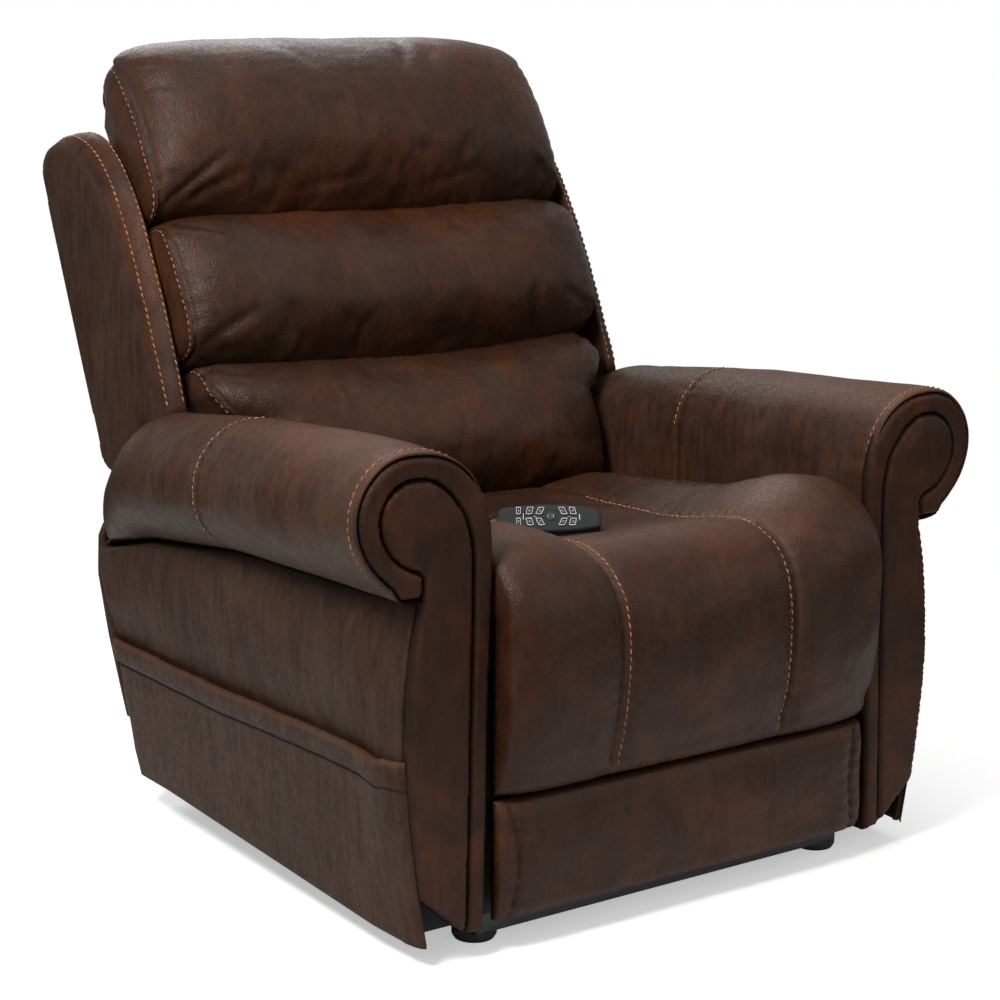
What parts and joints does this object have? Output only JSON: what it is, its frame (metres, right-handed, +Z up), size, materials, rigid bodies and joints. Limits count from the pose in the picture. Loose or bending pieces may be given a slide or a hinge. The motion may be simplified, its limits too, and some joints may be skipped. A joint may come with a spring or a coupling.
{
  "type": "lift recliner chair",
  "caption": "Padded lift recliner chair with rolled arms, winged three-cushion back, chaise leg rest, side pockets, wired handset and a powered lift base.",
  "frame": {"origin": "centre of the footprint of the whole chair at floor level, lift down, back up, leg rest down", "axes": "+X towards the sitter's left arm, +Y towards the back, +Z up; the chair faces -Y"},
  "size_m": [0.9624, 1.0433, 1.0578],
  "materials": {
    "upholstery": "satin",
    "base_steel": "satin",
    "rod_steel": "satin",
    "spring_steel": "satin",
    "motor_plastic": "matte",
    "frame_wood": "matte",
    "glide_rubber": "matte",
    "handset_plastic": "satin",
    "key_rubber": "matte",
    "knob_plastic": "gloss",
    "cord_rubber": "matte"
  },
  "bodies": {
    "base": {"base_frame": "base_steel", "floor_glides": "glide_rubber", "base_brackets": "base_steel"},
    "lift_arms": {"lift_arm_left": "base_steel", "lift_arm_right": "base_steel", "lift_cross_tube": "base_steel"},
    "stabiliser": {"stabiliser_links": "base_steel"},
    "lift_drive": {"lift_motor": "motor_plastic"},
    "lift_plunger": {"lift_rod": "rod_steel"},
    "chair": {"seat_frame": "frame_wood", "seat_springs": "spring_steel", "seat_cushion": "upholstery", "chair_hangers": "base_steel", "arm_board_left": "frame_wood", "arm_board_right": "frame_wood", "arm_inner_left": "upholstery", "arm_inner_right": "upholstery", "arm_roll_left": "upholstery", "arm_roll_right": "upholstery", "arm_front_left": "upholstery", "arm_front_right": "upholstery", "side_panel_left": "upholstery", "side_panel_right": "upholstery", "pocket_left": "upholstery", "pocket_right": "upholstery", "pocket_ends": "upholstery", "rear_valance": "upholstery", "control_box": "motor_plastic", "power_supply": "motor_plastic", "handset_case": "handset_plastic", "handset_face": "handset_plastic", "handset_cord": "cord_rubber"},
    "recline_drive": {"recline_motor": "motor_plastic"},
    "recline_plunger": {"recline_rod": "rod_steel"},
    "back": {"back_frame": "base_steel", "back_panel": "upholstery", "wing_left": "upholstery", "wing_right": "upholstery", "middle_cushion": "upholstery"},
    "headrest": {"headrest_board": "frame_wood", "head_cushion": "upholstery"},
    "lumbar": {"lumbar_board": "frame_wood", "lumbar_cushion": "upholstery"},
    "legrest": {"legrest_frame": "frame_wood", "legrest_pad": "upholstery", "foot_panel": "upholstery"},
    "button_1": {"key_1": "key_rubber"},
    "button_2": {"key_2": "key_rubber"},
    "button_3": {"key_3": "key_rubber"},
    "button_4": {"key_4": "key_rubber"},
    "button_5": {"key_5": "key_rubber"},
    "button_6": {"key_6": "key_rubber"},
    "button_7": {"key_7": "key_rubber"},
    "button_8": {"key_8": "key_rubber"},
    "button_9": {"key_9": "key_rubber"},
    "button_10": {"key_10": "key_rubber"},
    "button_11": {"key_11": "knob_plastic"}
  },
  "joints": [
    {"name": "lift", "type": "hinge", "parent": "base", "child": "lift_arms", "pos_m": [0, -0.296, 0.095], "axis": [1, 0, 0], "range_deg": [0, 46]},
    {"name": "tilt", "type": "hinge", "parent": "lift_arms", "child": "chair", "pos_m": [0, 0.2, 0.135], "axis": [-1, 0, 0], "range_deg": [0, 18.4]},
    {"name": "stabilise", "type": "hinge", "parent": "base", "child": "stabiliser", "pos_m": [0, -0.365, 0.084], "axis": [1, 0, 0], "range_deg": [0, 57.6]},
    {"name": "lift_drive_swing", "type": "hinge", "parent": "base", "child": "lift_drive", "pos_m": [0, 0.16, 0.075], "axis": [1, 0, 0], "range_deg": [-1, 6]},
    {"name": "lift_drive_stroke", "type": "slide", "parent": "lift_drive", "child": "lift_plunger", "axis": [0, -0.9824, 0.1866], "range_m": [0, 0.05]},
    {"name": "recline", "type": "hinge", "parent": "chair", "child": "back", "pos_m": [0, 0.184, 0.244], "axis": [-1, 0, 0], "range_deg": [0, 40]},
    {"name": "recline_drive_swing", "type": "hinge", "parent": "chair", "child": "recline_drive", "pos_m": [0, -0.382, 0.242], "axis": [1, 0, 0], "range_deg": [-1, 4]},
    {"name": "recline_drive_stroke", "type": "slide", "parent": "recline_drive", "child": "recline_plunger", "axis": [0, -0.9931, 0.1169], "range_m": [0, 0.045]},
    {"name": "headrest_tilt", "type": "hinge", "parent": "back", "child": "headrest", "pos_m": [0, 0.28064, 0.82492], "axis": [1, 0, 0], "range_deg": [0, 30]},
    {"name": "lumbar_push", "type": "slide", "parent": "back", "child": "lumbar", "axis": [0, -0.9135, 0.4067], "range_m": [0, 0.025]},
    {"name": "legrest_raise", "type": "hinge", "parent": "chair", "child": "legrest", "pos_m": [0, -0.492, 0.442], "axis": [-1, 0, 0], "range_deg": [0, 90]},
    {"name": "press_1", "type": "slide", "parent": "chair", "child": "button_1", "axis": [0.3039, 0.4341, -0.848], "range_m": [0, 0.0009], "stiffness_N_per_m": 320, "springref_m": -0.001},
    {"name": "press_2", "type": "slide", "parent": "chair", "child": "button_2", "axis": [0.3039, 0.4341, -0.848], "range_m": [0, 0.0009], "stiffness_N_per_m": 320, "springref_m": -0.001},
    {"name": "press_3", "type": "slide", "parent": "chair", "child": "button_3", "axis": [0.3039, 0.4341, -0.848], "range_m": [0, 0.0009], "stiffness_N_per_m": 320, "springref_m": -0.001},
    {"name": "press_4", "type": "slide", "parent": "chair", "child": "button_4", "axis": [0.3039, 0.4341, -0.848], "range_m": [0, 0.0009], "stiffness_N_per_m": 320, "springref_m": -0.001},
    {"name": "press_5", "type": "slide", "parent": "chair", "child": "button_5", "axis": [0.3039, 0.4341, -0.848], "range_m": [0, 0.0009], "stiffness_N_per_m": 320, "springref_m": -0.001},
    {"name": "press_6", "type": "slide", "parent": "chair", "child": "button_6", "axis": [0.3039, 0.4341, -0.848], "range_m": [0, 0.0009], "stiffness_N_per_m": 320, "springref_m": -0.001},
    {"name": "press_7", "type": "slide", "parent": "chair", "child": "button_7", "axis": [0.3039, 0.4341, -0.848], "range_m": [0, 0.0009], "stiffness_N_per_m": 320, "springref_m": -0.001},
    {"name": "press_8", "type": "slide", "parent": "chair", "child": "button_8", "axis": [0.3039, 0.4341, -0.848], "range_m": [0, 0.0009], "stiffness_N_per_m": 320, "springref_m": -0.001},
    {"name": "press_9", "type": "slide", "parent": "chair", "child": "button_9", "axis": [0.3039, 0.4341, -0.848], "range_m": [0, 0.0009], "stiffness_N_per_m": 320, "springref_m": -0.001},
    {"name": "press_10", "type": "slide", "parent": "chair", "child": "button_10", "axis": [0.3039, 0.4341, -0.848], "range_m": [0, 0.0009], "stiffness_N_per_m": 320, "springref_m": -0.001},
    {"name": "press_11", "type": "slide", "parent": "chair", "child": "button_11", "axis": [0.3039, 0.4341, -0.848], "range_m": [0, 0.0009], "stiffness_N_per_m": 320, "springref_m": -0.001}
  ],
  "couplings": [
    {"joint": "tilt", "follows": "lift", "ratio": 0.4},
    {"joint": "stabilise", "follows": "lift", "ratio": 1.2494},
    {"joint": "lift_drive_swing", "follows": "lift", "ratio": 0.0837},
    {"joint": "lift_drive_stroke", "follows": "lift", "m_per_rad": 0.055},
    {"joint": "recline_drive_swing", "follows": "recline", "ratio": 0.0641},
    {"joint": "recline_drive_stroke", "follows": "recline", "m_per_rad": 0.0599}
  ]
}
